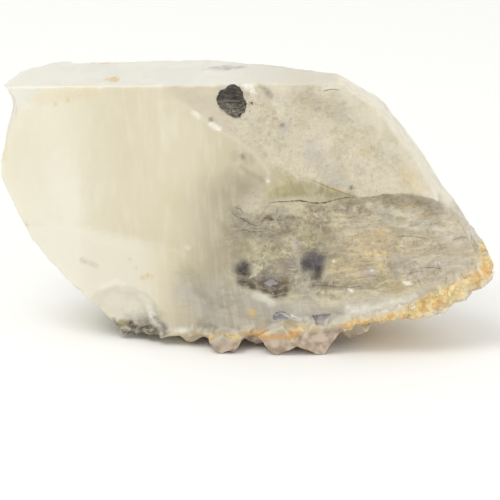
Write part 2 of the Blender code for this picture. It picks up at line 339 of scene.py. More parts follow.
# The ledge over the window rises and falls along its length: x, and how far it is shifted up.
LEDGE_BEND_X = (20, 24, 28, 34, 38, 41.4, 46)
LEDGE_BEND = (0, 0.5, 1.1, 0.5, -0.6, -2.0, -3.0)
LEDGE_MIDDLE = 31

# The way that the rim's faces look on the whole, as azimuth and elevation, and how far out they lie
# from the origin along it.
RIM_WAY = (-6, 42)
RIM_FACE = 51

# Above the tip the crust thins out on the rim's lower face: the way that face looks, how far out it
# lies from the origin, and how thick the crust still is.
RIM_AZIMUTH, RIM_ELEVATION = -8, 33
RIM_REACH = 50.3
RIM_CRUST = 0.7

# The net that the veils are cut from: its cell, left end, low edge, length and height. Each veil passes
# under this place on the front, leans by these slopes with height and x, and is this thick.
VEIL_CELL, VEIL_LEFT, VEIL_LOW, VEIL_LONG, VEIL_HIGH = 0.28, -5.0, 8.0, 48, 25
VEIL_MIDDLE = (15, 20)
VEIL_LEAN = (0.21, -0.05)
VEIL_THICKNESS = 0.05
VEIL_ROOM = 0.5  # a veil keeps this far inside the crystal

# The ore grain's outline on the front, as x and height.
ORE_OUTLINE = (
    (-5.8, 52.1), (-5.2, 52.8), (-2.7, 52.9), (-0.6, 52.9), (0.8, 52.4), (1.2, 50.6), (1.1, 49.0),
    (0.6, 47.8), (0.3, 46.5), (-1.3, 46.1), (-3.5, 46.9), (-5.2, 47.9), (-6.1, 49.0), (-6.3, 50.0),
    (-5.8, 50.9),
)
# The largest fluorite cubes, each as x, height, size and how light it is.
LARGE_CUBES = (
    (13.1, 20.2, 2.4, 0.6), (12.1, 18.8, 2.3, 0.4), (14.6, 18.9, 2.5, 0.8), (13.2, 17.4, 2.7, 0.2),
    (11.8, 16.9, 2.2, 0.35), (12.6, 15.9, 2.0, 0.25), (15.0, 17.3, 1.8, 0.9),
)
# The middles of the two groups of smaller cubes: x, height and depth, then how far each group reaches
# to the side, inwards and up.
CUBE_GROUP, CUBE_SPREAD = (13.8, 18.9, 1.85), (2.0, 0.3, 2.4)
DARK_GROUP, DARK_SPREAD = (-0.5, 16.8, 1.7), (0.65, 0.4, 1.3)
CUBE_COVER = 0.75  # the nearest face of a large cube lies about this far inside
PALE_FLAKE_CROP = ((200, 1099), (292, 1105), (270, 1140), (240, 1190), (205, 1200), (225, 1150))
LILAC_LENS_CROP = ((275, 1215), (320, 1200), (360, 1215), (320, 1240))
BLUE_FLAKE_CROP = (
    (318, 1398), (340, 1375), (380, 1372), (415, 1385), (470, 1408), (430, 1419), (380, 1405), (330, 1412),
)
GREY_FLAKE_CROP = ((535, 1389), (690, 1372), (640, 1398), (603, 1444), (555, 1442))
# The dark crack along the ledge is partly a painted shadow under the step's edge.
CRACK_AND_SHADOW_CROP = (
    (310, 797), (360, 796), (400, 795), (440, 788), (470, 787), (520, 798), (560, 801), (600, 800),
    (640, 788), (680, 777), (720, 770), (770, 770),
)


def direction(azimuth, elevation):
    """The unit vector that looks along an azimuth from +X and an elevation above the horizon."""
    a, e = math.radians(azimuth), math.radians(elevation)
    return Vector((math.cos(e) * math.cos(a), math.cos(e) * math.sin(a), math.sin(e)))


def linear(red, green, blue):
    """A colour from its 0-255 screen values, as the linear RGBA that a shader takes."""
    parts = [c / 255 for c in (red, green, blue)]
    return tuple(c / 12.92 if c <= 0.04045 else ((c + 0.055) / 1.055) ** 2.4 for c in parts) + (1,)


def seen(red, green, blue):
    """The surface colour that looks like a screen colour under the studio's light."""
    return tuple(c * LIGHT_SHARE for c in linear(red, green, blue)[:3]) + (1,)


# ---------------------------------------------------------------- number fields over points
def smooth_step(x, low, high):
    """0 before low, 1 past high, and an even curve between; high may be the smaller one."""
    t = np.clip((x - low) / (high - low), 0, 1)
    return t * t * (3 - 2 * t)


def lattice_value(cell, seed):
    """A repeatable value from -1 to 1 for each whole-number cell."""
    h = cell[:, 0] * 374761393 + cell[:, 1] * 668265263 + cell[:, 2] * 974711 + seed * 362437
    h = (h ^ (h >> 13)) * 1274126177
    h = h ^ (h >> 16)
    return (h & 0xFFFF) / 32767.5 - 1


def noise(points, seed=0):
    """Smooth noise of cell size 1, from about -1 to 1."""
    cell = np.floor(points).astype(np.int64)
    part = points - cell
    part = part * part * (3 - 2 * part)
    total = np.zeros(len(points))
    for i in (0, 1):
        for j in (0, 1):
            for k in (0, 1):
                share = np.ones(len(points))
                for axis, step in enumerate((i, j, k)):
                    share *= part[:, axis] if step else 1 - part[:, axis]
                total += share * lattice_value(cell + (i, j, k), seed)
    return total


def clouds(points, size, seed=0, octaves=3):
    """Noise summed over finer and finer cells; size is the largest cell's, for all axes or each."""
    total, weight, scale = np.zeros(len(points)), 1.0, np.ones(3) * size
    for octave in range(octaves):
        total += weight * noise(points / scale + 31.7 * octave, seed + octave)
        weight, scale = weight / 2, scale / 2
    return total


def path_distance(points, path):
    """Each point's distance from a line through the path's points, and how far along it, 0 to 1."""
    path = np.array(path, float)
    steps = np.linalg.norm(np.diff(path, axis=0), axis=1)
    starts = np.concatenate(([0], np.cumsum(steps)))
    best, along = np.full(len(points), np.inf), np.zeros(len(points))
    for a, b, start, step in zip(path, path[1:], starts, steps):
        t = np.clip(((points - a) @ (b - a)) / step**2, 0, 1)
        away = np.linalg.norm(points - (a + t[:, None] * (b - a)), axis=1)
        nearer = away < best
        best[nearer] = away[nearer]
        along[nearer] = (start + t * step)[nearer] / starts[-1]
    return best, along


def stroked(points, strokes, seed=0):
    """How strongly a table's strokes of colour cover each point of the front, 0 to 1."""
    flat = points * (1, 0, 1)
    wander = 0.4 * clouds(points, 1.1, seed, 3)
    best = np.zeros(len(points))
    for width, strength, *path in strokes:
        path = [(x, 0, z) for x, z in zip(path[::2], path[1::2])]
        away, _ = path_distance(flat, path)
        best = np.maximum(best, strength * smooth_step(away / (width + 0.15) + wander, 1.4, 0.3))
    return best


def spotted(points, spots, across, seed=0):
    """1 in any of a table's oval spots and 0 outside; across is the axis of each spot's second number."""
    wander = 0.4 * clouds(points, 1.3, seed, 3)
    best = np.zeros(len(points))
    for x, other, wide, high in spots:
        away = np.hypot((points[:, 0] - x) / wide, (points[:, across] - other) / high)
        best = np.maximum(best, smooth_step(away + wander, 1.3, 0.5))
    return best


def turned(roll, lean):
    """A turn by degrees about X and then about Y, as an array."""
    spin = Matrix.Rotation(math.radians(lean), 3, "Y") @ Matrix.Rotation(math.radians(roll), 3, "X")
    return np.array(spin)


# ---------------------------------------------------------------- meshes
def new_piece(name, mesh, material):
    """A piece of the specimen that rides with it, with the material that it is given."""
    mesh.name = name
    piece = bpy.data.objects.new(name, mesh)
    bpy.context.scene.collection.objects.link(piece)
    mesh.materials.clear()
    mesh.materials.append(material)
    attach(piece, "root")
    return piece


def points_of(mesh):
    co = np.empty(len(mesh.vertices) * 3, np.float32)
    mesh.vertices.foreach_get("co", co)
    return co.reshape(-1, 3).astype(float) / MM


def set_points(mesh, points):
    mesh.vertices.foreach_set("co", (points * MM).astype(np.float32).ravel())
    mesh.update()


def normals_of(mesh):
    n = np.empty(len(mesh.vertices) * 3, np.float32)
    mesh.vertex_normals.foreach_get("vector", n)
    return n.reshape(-1, 3).astype(float)


def edges_of(mesh):
    pairs = np.empty(len(mesh.edges) * 2, np.int32)
    mesh.edges.foreach_get("vertices", pairs)
    return pairs.reshape(-1, 2)


def eased(rows, edges, rounds):
    """Each point's row of numbers replaced by the mean of its neighbours' rows, some number of times."""
    ends = np.concatenate((edges[:, 0], edges[:, 1]))
    others = np.concatenate((edges[:, 1], edges[:, 0]))
    count = np.bincount(ends, minlength=len(rows))
    for _ in range(rounds):
        rows = np.stack([np.bincount(ends, column[others], len(rows)) for column in rows.T], 1)
        rows = rows / count[:, None]
    return rows


def store(mesh, **fields):
    """Keeps named numbers for each point of the mesh, for its material to read."""
    for name, values in fields.items():
        layer = mesh.attributes.new(name, "FLOAT", "POINT")
        layer.data.foreach_set("value", np.asarray(values, np.float32))


def mesh_from(points, faces):
    """A mesh from places in millimetres and faces that all have the same number of corners."""
    mesh = bpy.data.meshes.new("mesh")
    mesh.from_pydata((np.asarray(points, float) * MM).tolist(), [], np.asarray(faces).tolist())
    mesh.update()
    return mesh


def search_tree(mesh):
    bm = bmesh.new()
    bm.from_mesh(mesh)
    tree = BVHTree.FromBMesh(bm)
    bm.free()
    return tree


def from_photo(tree, column, row):
    """The place on a search tree's faces that the camera sees at a column and row of the photo."""
    ahead, right = -direction(-90, CAMERA_ELEVATION), Vector((1, 0, 0))
    across, up = (column - PHOTO / 2) * right, (PHOTO / 2 - row) * right.cross(ahead)
    look = ahead + (across + up) * SENSOR / LENS / PHOTO
    return tree.ray_cast((CAMERA_TARGET - ahead * CAMERA_DISTANCE) * MM, look.normalized())[0] / MM


def on_front(tree, picked):
    """Strokes that were picked on the photo, with their places as x and height on the crystal."""
    strokes = []
    for width, strength, *path in picked:
        stroke = [width, strength]
        for across, height in zip(path[::2], path[1::2]):
            column, row = PHOTO_ZERO[0] + PHOTO_SCALE[0] * across, PHOTO_ZERO[1] - PHOTO_SCALE[1] * height
            place = from_photo(tree, column, row)
            stroke += [place.x, place.z]
        strokes.append(tuple(stroke))
    return tuple(strokes)


def from_crop(tree, outline):
    """An outline that was picked on the crop, as x and height on the crystal, to a tenth of a millimetre."""
    places = [from_photo(tree, CROP_LEFT + x / CROP_ZOOM, CROP_TOP + y / CROP_ZOOM) for x, y in outline]
    return tuple((round(place.x, 1), round(place.z, 1)) for place in places)


def plate(front, back, quads):
    """A closed plate from a net of quads: its front and back points, and walls round every hole."""
    count = len(front)
    quads = np.asarray(quads)
    sides = np.concatenate([quads[:, [i, (i + 1) % 4]] for i in range(4)])
    keys = set((sides[:, 0] * count + sides[:, 1]).tolist())
    open_sides = [(a, b) for a, b in sides.tolist() if b * count + a not in keys]
    walls = [(b, a, a + count, b + count) for a, b in open_sides]
    faces = np.concatenate((quads, quads[:, ::-1] + count, np.array(walls)))
    used = np.unique(faces)
    renumbered = np.searchsorted(used, faces)
    return mesh_from(np.concatenate((front, back))[used], renumbered)


def net(wide, high):
    """The quads of a net that has so many points each way."""
    corner = (np.arange(high - 1)[:, None] * wide + np.arange(wide - 1)).ravel()
    return np.stack((corner, corner + 1, corner + 1 + wide, corner + wide), 1)


def unpinched(quads, count):
    """The quads without those that meet at a corner alone, where a plate would pinch."""
    while True:
        sides = np.sort(np.concatenate([quads[:, [i, (i + 1) % 4]] for i in range(4)]), axis=1)
        rims, uses = np.unique(sides, axis=0, return_counts=True)
        pinched = np.bincount(rims[uses == 1].ravel(), minlength=count) > 2
        if not pinched.any():
            return quads
        quads = quads[~pinched[quads].any(1)]


def within(x, z, outline):
    """True for each place that lies inside an outline."""
    inside = np.zeros(len(x), bool)
    for (xa, za), (xb, zb) in zip(outline, outline[1:] + outline[:1]):
        crosses = (za > z) != (zb > z)
        inside ^= crosses & (x < (xb - xa) * (z - za) / (zb - za + 1e-9) + xa)
    return inside


# ---------------------------------------------------------------- materials
# The kinds of surface that the crystal's material tells apart.
SHADED_ZONES = (
    "milk", "window", "crust", "ledge", "top", "rim", "haze", "pale", "port", "border", "facet", "outer",
    "lower",
)


class Graph:
    """One new material's node tree, with short ways to add to it. Texture sizes are in millimetres."""

    def __init__(self, name):
        self.material = bpy.data.materials.new(name)
        self.material.use_nodes = True
        self.tree = self.material.node_tree
        self.shader = self.tree.nodes["Principled BSDF"]
        self.output = self.tree.nodes["Material Output"]

    def put(self, socket, value):
        """Links a value that comes from a node, and sets any other."""
        if isinstance(value, bpy.types.NodeSocket):
            self.tree.links.new(value, socket)
        else:
            socket.default_value = value

    def set(self, **values):
        """Sets the shader's inputs, each named with _ for a space."""
        for name, value in values.items():
            self.put(self.shader.inputs[name.replace("_", " ")], value)

    def node(self, kind, **settings):
        made = self.tree.nodes.new("ShaderNode" + kind)
        for name, value in settings.items():
            setattr(made, name, value)
        return made

    def attribute(self, name):
        return self.node("Attribute", attribute_name=name).outputs["Fac"]

    def axis(self, letter):
        """The place along X, Y or Z, in millimetres."""
        split = self.node("SeparateXYZ")
        self.put(split.inputs[0], self.place())
        return split.outputs[letter]

    def place(self, stretch=(1, 1, 1), turn=(0, 0, 0)):
        """Points in millimetres, turned by degrees, then divided by the stretch along each axis."""
        coordinates = self.node("TexCoord").outputs["Object"]
        turned_by = self.node("Mapping", vector_type="POINT")
        self.put(turned_by.inputs["Vector"], coordinates)
        turned_by.inputs["Rotation"].default_value = [math.radians(a) for a in turn]
        scaled = self.node("Mapping", vector_type="POINT")
        self.put(scaled.inputs["Vector"], turned_by.outputs["Vector"])
        scaled.inputs["Scale"].default_value = [1 / (MM * s) for s in stretch]
        return scaled.outputs["Vector"]

    def noise(self, size, detail=3, stretch=(1, 1, 1), turn=(0, 0, 0), roughness=0.5, warp=0.0):
        made = self.node("TexNoise")
        self.put(made.inputs["Vector"], self.place([size * s for s in stretch], turn))
        made.inputs["Scale"].default_value = 1
        made.inputs["Detail"].default_value = detail
        made.inputs["Roughness"].default_value = roughness
        made.inputs["Distortion"].default_value = warp
        return made.outputs["Fac"]

    def math(self, operation, a, b=0.0):
        made = self.node("Math", operation=operation)
        self.put(made.inputs[0], a)
        self.put(made.inputs[1], b)
        return made.outputs[0]

    def times(self, a, b):
        return self.math("MULTIPLY", a, b)

    def ramp(self, value, low, high, first=0.0, last=1.0):
        """An even curve from first at low to last at high."""
        made = self.node("MapRange", interpolation_type="SMOOTHSTEP")
        names = ("Value", "From Min", "From Max", "To Min", "To Max")
        for name, number in zip(names, (value, low, high, first, last)):
            self.put(made.inputs[name], number)
        return made.outputs["Result"]

    def mix(self, share, a, b):
        """Colour a turning to b as share goes from 0 to 1."""
        made = self.node("Mix", data_type="RGBA")
        self.put(made.inputs[0], share)
        self.put(made.inputs[6], a)
        self.put(made.inputs[7], b)
        return made.outputs[2]

    def layers(self, color, rows):
        """A colour under others. Each row is a value, where it starts and is full, a share and a colour."""
        for value, low, high, most, over in rows:
            color = self.mix(self.times(self.ramp(value, low, high), most), color, over)
        return color

    def blend(self, share, a, b):
        """Number a turning to b as share goes from 0 to 1."""
        made = self.node("Mix", data_type="FLOAT")
        self.put(made.inputs[0], share)
        self.put(made.inputs[2], a)
        self.put(made.inputs[3], b)
        return made.outputs[0]

    def bump(self, height, depth, under=None):
        """Adds relief of a depth in millimetres to the shader's normal; under is bump made before."""
        made = self.node("Bump")
        made.inputs["Strength"].default_value = 1
        made.inputs["Distance"].default_value = depth * MM
        self.put(made.inputs["Height"], height)
        if under is not None:
            self.put(made.inputs["Normal"], under)
        self.put(self.shader.inputs["Normal"], made.outputs["Normal"])
        return made.outputs["Normal"]


# ---------------------------------------------------------------- the crystal's skin
def even_skin():
    """The CAD crystal as an even net of small quads."""
    source = bpy.data.objects.new("skin_source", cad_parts[NODE].data.copy())
    bpy.context.scene.collection.objects.link(source)
    remesh = source.modifiers.new("even", "REMESH")
    remesh.mode = "VOXEL"
    remesh.voxel_size = VOXEL * MM
    remesh.use_smooth_shade = True
    depsgraph = bpy.context.evaluated_depsgraph_get()
    mesh = bpy.data.meshes.new_from_object(source.evaluated_get(depsgraph))
    bpy.data.objects.remove(source)
    return mesh


def laid_on_cad(points, tree):
    """Each point's nearest place on the CAD faces, and that face's outward normal."""
    places, normals = np.empty_like(points), np.empty_like(points)
    for n, p in enumerate(points):
        at, normal, _, _ = tree.find_nearest(Vector(p) * MM)
        places[n] = at / MM
        normals[n] = normal
    return places, normals


def rim_height(x):
    """How high the crust's line runs at each x, up to the tip."""
    path_x, _, path_z = zip(*RIM_PATH[:TIP + 1])
    return np.interp(x, path_x, path_z)


def zones(p, n):
    """How much each point of the skin belongs to each kind of surface, from points and face normals."""
    x, y, z = p.T
    wander = clouds(p, 6, 11)
    front = smooth_step(n[:, 1], -0.35, -0.75)
    back = smooth_step(n[:, 1], 0.2, 0.6)
    top = smooth_step(n[:, 2], 0.8, 0.93)
    rim_way = np.array(direction(*RIM_WAY))
    rim = smooth_step(n @ rim_way + 0.05 * wander, 0.78, 0.95)
    under = smooth_step(n[:, 2], -0.35, -0.7)
    low_edge = np.interp(x, WINDOW_X, WINDOW_LOW)
    ledge_top = np.interp(x, LEDGE_X, LEDGE_TOP)
    ledge = front * smooth_step(z, ledge_top + 0.3, ledge_top - 0.3)
    ledge *= smooth_step(z, 29.6, 30.2) * smooth_step(x + wander, 0, 6) * smooth_step(x, 22.3, 21)
    past_milk = x - np.interp(z, MILK_EDGE_Z, MILK_EDGE_X)
    fade = np.interp(z, (33, 38), (6.0, 0.9)) * np.interp(y, (0, 10), (1, 4))
    milk = smooth_step(past_milk + 0.5 * wander * fade, fade, -fade)
    away, along = path_distance(p, RIM_PATH)
    width = np.interp(along, np.linspace(0, 1, len(RIM_WIDTH)), RIM_WIDTH)
    crust = smooth_step(away / width + 0.25 * clouds(p, 2.5, 3), 1.25, 0.8)
    below = under * smooth_step(z, 15, 12) * smooth_step(x, -18, -14)
    crust = np.maximum(crust, below * smooth_step(wander + 0.02 * x, -0.9, 0.1))
    tip = smooth_step(x + 0.4 * wander - np.interp(z, TIP_Z, TIP_X), -0.4, 0.5) * smooth_step(z, 22.2, 20.8)
    crust = np.maximum(crust, tip * smooth_step(y, -5, -7) * smooth_step(z, 12, 13))
    outer = smooth_step(rim_height(x) - z, -0.6, 1.8) * smooth_step(x, 22, 36)
    top_edge, soft = np.interp(x, WINDOW_X, WINDOW_TOP), np.interp(x, (2, 12), (4, 0.6))
    window = smooth_step(z + 0.5 * wander * soft, top_edge + 0.3 * soft, top_edge - soft)
    window *= smooth_step(z + 0.8 * wander, low_edge - 2.5, low_edge + 2.5)
    low_rim = smooth_step(n @ np.array(direction(RIM_AZIMUTH, RIM_ELEVATION)), 0.9, 0.97)
    low_rim *= smooth_step(z, 31, 28)
    window *= smooth_step(past_milk + 2.5 * wander, -8, 8) * np.maximum(front, low_rim)
    rim *= smooth_step(z, 27, 31)
    haze = front * smooth_step(z + wander, low_edge + 1, low_edge - 3) * smooth_step(x + 2 * wander, -19, -5)
    arc = z - np.interp(x, ARC_X, ARC_Z)
    # lower: the milky end's down-facing lower face, whose colour is lightened as painted light.
    lower = front * smooth_step(arc, 0.4, -0.4) * smooth_step(x, -13, -23)
    base_top = np.interp(x, BASE_X, BASE_TOP) + 0.35 * wander
    pale = smooth_step(z, base_top + 0.3, base_top - 0.3) * smooth_step(y, -4, -8) * smooth_step(x, -11, -9)
    seam = smooth_step(np.abs(z - SEAM_Z - 0.04 * (x - SEAM_X) - 0.6 * wander), 0.9, 0.4)
    seam *= smooth_step(y, -11, -13) * smooth_step(np.abs(x - SEAM_X), SEAM_LONG + 2, SEAM_LONG)
    crust = np.maximum(crust, seam) * (1 - pale)
    port = spotted(p, CLEAR_SPOTS, 2, 17) * front
    run, fall = np.subtract(FACET_TO, FACET_FROM)
    above = (fall * (x - FACET_FROM[0]) - run * (z - FACET_FROM[1])) / math.hypot(run, fall)
    facet = smooth_step(above + 0.15 * wander, -0.15, 0.35) * smooth_step(n[:, 1], -0.2, -0.5)
    facet *= smooth_step(x, -38, -39)
    upper_edge = smooth_step(z + 0.4 * wander, 50.8, 53) * smooth_step(x, -4, 4)
    rim_edge = smooth_step(p @ rim_way + 0.6 * wander, RIM_FACE - 4, RIM_FACE - 0.8)
    border = front * np.maximum(upper_edge, rim_edge) * (1 - window)
    around = (0.02 + 0.04 * smooth_step(z, 8, 5)) * np.minimum(x + 12, 0)
    marked = smooth_step(n[:, 1] + around, -0.25, -0.5)
    marked *= np.maximum(smooth_step(y, 1, -2), smooth_step(z, 8, 5))
    return dict(
        front=front, back=back, top=top, rim=rim, under=under, ledge=ledge, milk=milk,
        crust=crust, window=window, haze=haze, pale=pale, port=port, border=border,
        facet=facet, outer=outer, lower=lower, marked=marked,
    )


def relief(p, n, zone, edge):
    """How far each point of the skin stands out from the flat CAD faces."""
    x, y, z = p.T
    height = 0.06 * clouds(p, 9, 21) + 0.02 * clouds(p, 1.6, 24, 2)
    streaks = clouds(p @ turned(0, -5).T, (1.5, 6, 16), 31)
    height += 0.035 * streaks * zone["front"] * zone["milk"]
    level = z + 0.05 * x + 0.7 * clouds(p, (10, 10, 6), 41, 2)
    terraces = clouds(np.stack((x / 14, y / 14, level / 1.3), 1), 1, 43)
    height += 0.07 * terraces * zone["window"] * (1 - zone["port"])
    height += 0.10 * clouds(np.stack((x / 11, y / 11, level / 1.6), 1), 1, 47) * zone["back"]
    arc = z - np.interp(x, ARC_X, ARC_Z)
    height += 0.16 * (smooth_step(arc, -0.3, 0.3) - 1) * zone["front"] * smooth_step(x, -4, -10)
    pits = smooth_step(clouds(p, 1.5, 51), 0.1, 0.9)
    height -= 0.10 * pits * (1 - zone["milk"]) * (1 - zone["window"]) * zone["front"]
    height -= 0.35 * smooth_step(clouds(p, 4.5, 61), 0.1, 0.7) * zone["back"]
    shells = 1 - np.abs(clouds(p, (9, 9, 6), 65, 3))
    height += 0.22 * (smooth_step(shells, 0.75, 1.0) - 0.5) * zone["back"] * (1 - zone["milk"])
    height += 0.2 * clouds(p, 1.7, 71, 4) * np.maximum(zone["crust"], zone["under"])
    height += 0.5 * smooth_step(z, 33, 29) * smooth_step(z, 22, 25) * smooth_step(x, 36, 40)
    height -= 0.12 * zone["facet"] + 1.0 * smooth_step(np.hypot((x + 47) / 7, (z - 47) / 5.5), 1, 0)
    chips = smooth_step(clouds(p, 2.4, 81), 0.0, 0.9) * smooth_step(edge, 0.05, 0.2)
    big_chips = smooth_step(clouds(p, 7, 85), 0.1, 0.6) * smooth_step(edge, 0.03, 0.2) * zone["back"]
    return height - 0.28 * chips - 0.4 * big_chips - 0.06


def reshaped(p, n):
    """How far each point of the skin moves.

    The ledge bends, the tip hangs lower, the left foot reaches out and edges on the back wander.
    """
    x, y, z = p.T
    near = smooth_step(np.abs(z - LEDGE_MIDDLE), 5.5, 0.8) * smooth_step(y, -1, -4)
    bend = np.interp(x, LEDGE_BEND_X, LEDGE_BEND) * near * smooth_step(n[:, 0], 0.6, 0.3)
    drop = TIP_DROP * smooth_step(x, 26, 38) * smooth_step(z - rim_height(x), 3, -0.5)
    drop *= smooth_step(x, 51, 44)
    reach = FOOT_REACH * smooth_step(z, 8, 3.5) * smooth_step(x, -15, -22)
    wobble = BACK_WOBBLE * smooth_step(y, -3, 5)
    sideways, upwards = wobble * clouds(p, 8, 87), wobble * clouds(p, 8, 89) * smooth_step(z, 53, 44)
    return np.stack((sideways - reach, 0.18 * bend, upwards + bend - drop), 1)


def quartz_body(cad):
    """The crystal itself. Returns its piece and how much each point belongs to each kind of surface."""
    mesh = even_skin()
    points, flat_normals = laid_on_cad(points_of(mesh), cad)
    edges = edges_of(mesh)
    points = 0.5 * points + 0.5 * eased(points, edges, 1)
    facing = np.array(direction(RIM_AZIMUTH, RIM_ELEVATION))
    proud = points @ facing - RIM_REACH
    allowed = RIM_CRUST * smooth_step(points[:, 2], 24, 20)
    held = smooth_step(points[:, 2], 19.5, 22.5) * np.maximum(proud - allowed, 0)
    points = points - np.outer(held, facing)
    points = points + reshaped(points, flat_normals)
    edge = ((points - eased(points, edges, 4)) * flat_normals).sum(1)
    sharp = zones(points, flat_normals)
    zone = dict(zip(sharp, eased(np.stack(list(sharp.values()), 1), edges, 2).T))
    set_points(mesh, points)
    points = points + normals_of(mesh) * relief(points, flat_normals, zone, edge)[:, None]
    low, high = (np.array(corner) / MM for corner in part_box(NODE))
    set_points(mesh, np.clip(points, low, high))
    rest = 1 - zone["milk"]
    clear = 0.04 + 0.1 * rest * (1 - zone["top"]) + 0.12 * zone["haze"]
    clear = np.maximum(clear, WINDOW_CLEAR * zone["window"])
    clear = np.maximum(clear, LEDGE_CLEAR * zone["ledge"])
    clear = np.maximum(clear, BACK_CLEAR * zone["back"] * rest)
    clear = np.maximum(clear, PORT_CLEAR * zone["port"])
    clear *= (1 - zone["crust"]) * (1 - zone["pale"])
    ochre = stroked(points, OCHRE_STROKES + on_front(cad, OCHRE_PICKED), 95) * zone["marked"]
    lilac = stroked(points, LILAC_STROKES + on_front(cad, LILAC_PICKED), 96) * zone["front"]
    smoke = stroked(points, SMOKE_STROKES + on_front(cad, SMOKE_PICKED), 97) * zone["marked"]
    olive = stroked(points, OLIVE_STROKES + on_front(cad, OLIVE_PICKED), 98) * zone["marked"]
    # white: pale wisps, with painted glints in its small strong spots.
    white = stroked(points, WHITE_AND_GLINT_STROKES + on_front(cad, WHITE_AND_GLINT_PICKED), 99) * zone["front"]
    ochre = np.maximum(ochre, spotted(points, TOP_OCHRE, 1, 94) * zone["top"])
    lilac = np.maximum(lilac, spotted(points, TOP_LILAC, 1, 93) * zone["top"])
    store(mesh, clear=clear, ridge=edge, ochre=ochre, lilac=lilac, smoke=smoke, olive=olive, white=white)
    store(mesh, **{name: zone[name] for name in SHADED_ZONES})
    body = new_piece("quartz_body", mesh, quartz_material())
    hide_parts(NODE)
    return body, zone


def milk_color(g):
    """The milky end: cream in faint upright streaks, with painted light making it whiter to the left and
    painted shade making it greyer where it clears.
    """
    x = g.axis("X")
    streaks = g.noise(1.3, 4, (1, 1, 14), (0, 5, 0))
    # Painted light: whiter towards the thin left end, as if lit through from behind.
    cream = g.mix(g.ramp(x, -22, -40), seen(220, 210, 180), seen(240, 234, 213))
    cream = g.mix(g.times(g.ramp(g.noise(13, 3), 0.35, 0.7), 0.5), cream, seen(232, 224, 202))
    across = g.math("ADD", x, g.times(g.noise(4, 2), 2.4))
    broken = g.times(g.ramp(across, -31.4, -32.6), g.ramp(g.axis("Z"), 38, 30))
    cream = g.mix(g.times(broken, 0.45), cream, seen(243, 239, 222))
    # Painted shade: a grey gradient towards the clear window.
    leaning = g.math("ADD", x, g.times(g.axis("Z"), -0.15))
    shaded = g.times(g.ramp(leaning, -20.7, -5.7), g.ramp(g.axis("Z"), 38, 31, 0.3, 1.0))
    cream = g.mix(shaded, cream, seen(172, 161, 136))
    return g.mix(g.times(g.ramp(streaks, 0.45, 0.75), 0.22), cream, seen(244, 238, 222))


def etched_color(g):
    """The upper right of the front: cream with fine granular mottling, warmer and cooler in turn."""
    grains = g.noise(0.8, 5, roughness=0.75, warp=0.5)
    etched = g.mix(g.ramp(g.noise(7, 3, warp=0.6), 0.38, 0.62), seen(209, 198, 171), seen(224, 213, 189))
    return g.layers(etched, (
        (g.noise(2.2, 4, warp=0.8), 0.42, 0.62, 0.4, seen(230, 221, 198)),
        (g.noise(3.2, 3), 0.5, 0.66, 0.35, seen(204, 198, 188)),
        (grains, 0.52, 0.64, 0.5, seen(242, 234, 214)),
        (grains, 0.47, 0.36, 0.5, seen(172, 159, 128)),
        (g.axis("X"), 0, -7, 0.7, seen(222, 211, 188)),
    ))


def glassy_color(g):
    """The clear window's haze: curdled on the left, streaky on the right, with a hatched corner."""
    x = g.axis("X")
    right = g.ramp(g.math("ADD", x, g.times(g.noise(6, 3), 12)), 18, 32)
    broad = g.noise(4.5, 4, (1.3, 1.3, 1), roughness=0.6, warp=1.2)
    curls = g.noise(2.2, 5, (1, 1, 1.2), roughness=0.62, warp=2.4)
    wisps = g.noise(1.3, 6, (2.6, 2.6, 1), (0, 10, 0), roughness=0.7, warp=1.4)
    grit = g.noise(0.5, 4, (1.3, 1.3, 1), roughness=0.7)
    glassy = g.mix(g.ramp(broad, 0.4, 0.6), seen(186, 172, 142), seen(234, 222, 184))
    glassy = g.layers(glassy, (
        (g.noise(7, 3), 0.48, 0.6, 0.5, seen(214, 206, 190)),
        (curls, 0.52, 0.62, 0.6, seen(160, 146, 120)),
        (curls, 0.46, 0.36, 0.55, seen(246, 238, 214)),
    ))
    glassy = g.mix(g.times(right, 0.6), glassy, seen(250, 232, 194))
    glassy = g.layers(glassy, (
        (wisps, 0.5, 0.64, g.blend(right, 0.2, 0.7), seen(246, 237, 218)),
        (wisps, 0.47, 0.34, g.blend(right, 0.2, 0.6), seen(150, 134, 110)),
        (grit, 0.54, 0.64, g.blend(right, 0.25, 0.45), seen(246, 239, 222)),
        (grit, 0.45, 0.35, g.blend(right, 0.25, 0.45), seen(130, 116, 92)),
    ))
    corner = g.times(g.ramp(x, 30, 34), g.ramp(g.axis("Z"), 20, 18))
    glassy = g.mix(g.ramp(x, 36, 44, 0, 0.5), glassy, seen(250, 236, 204))
    lines = g.noise(0.5, 2, (1, 1, 5), (0, 12, 0), warp=0.4)
    hatch = g.times(corner, g.ramp(lines, 0.42, 0.6))
    glassy = g.mix(g.times(hatch, 0.5), glassy, seen(236, 228, 214))
    return g.mix(g.times(corner, g.ramp(lines, 0.44, 0.3, 0, 0.6)), glassy, seen(130, 118, 100))


def haze_color(g):
    """The cooler haze under the window, in slanting streaks."""
    slant = g.noise(0.8, 4, (1, 1, 9), (0, 16, 0), warp=0.3)
    level = g.noise(1.4, 5, (3.5, 3.5, 1), roughness=0.65, warp=0.8)
    hazy = g.mix(g.ramp(slant, 0.4, 0.62), seen(200, 193, 174), seen(220, 213, 195))
    return g.layers(hazy, ((level, 0.5, 0.38, 0.6, seen(172, 166, 146)),))


def crown_color(g):
    """The top face and the chipped facet at its left: nearly white, warmer to the right."""
    crown = g.mix(g.ramp(g.axis("X"), -8, 12), seen(236, 234, 222), seen(220, 213, 196))
    return g.layers(crown, ((g.noise(6, 4, warp=0.8), 0.42, 0.62, 0.4, seen(222, 222, 216)),))


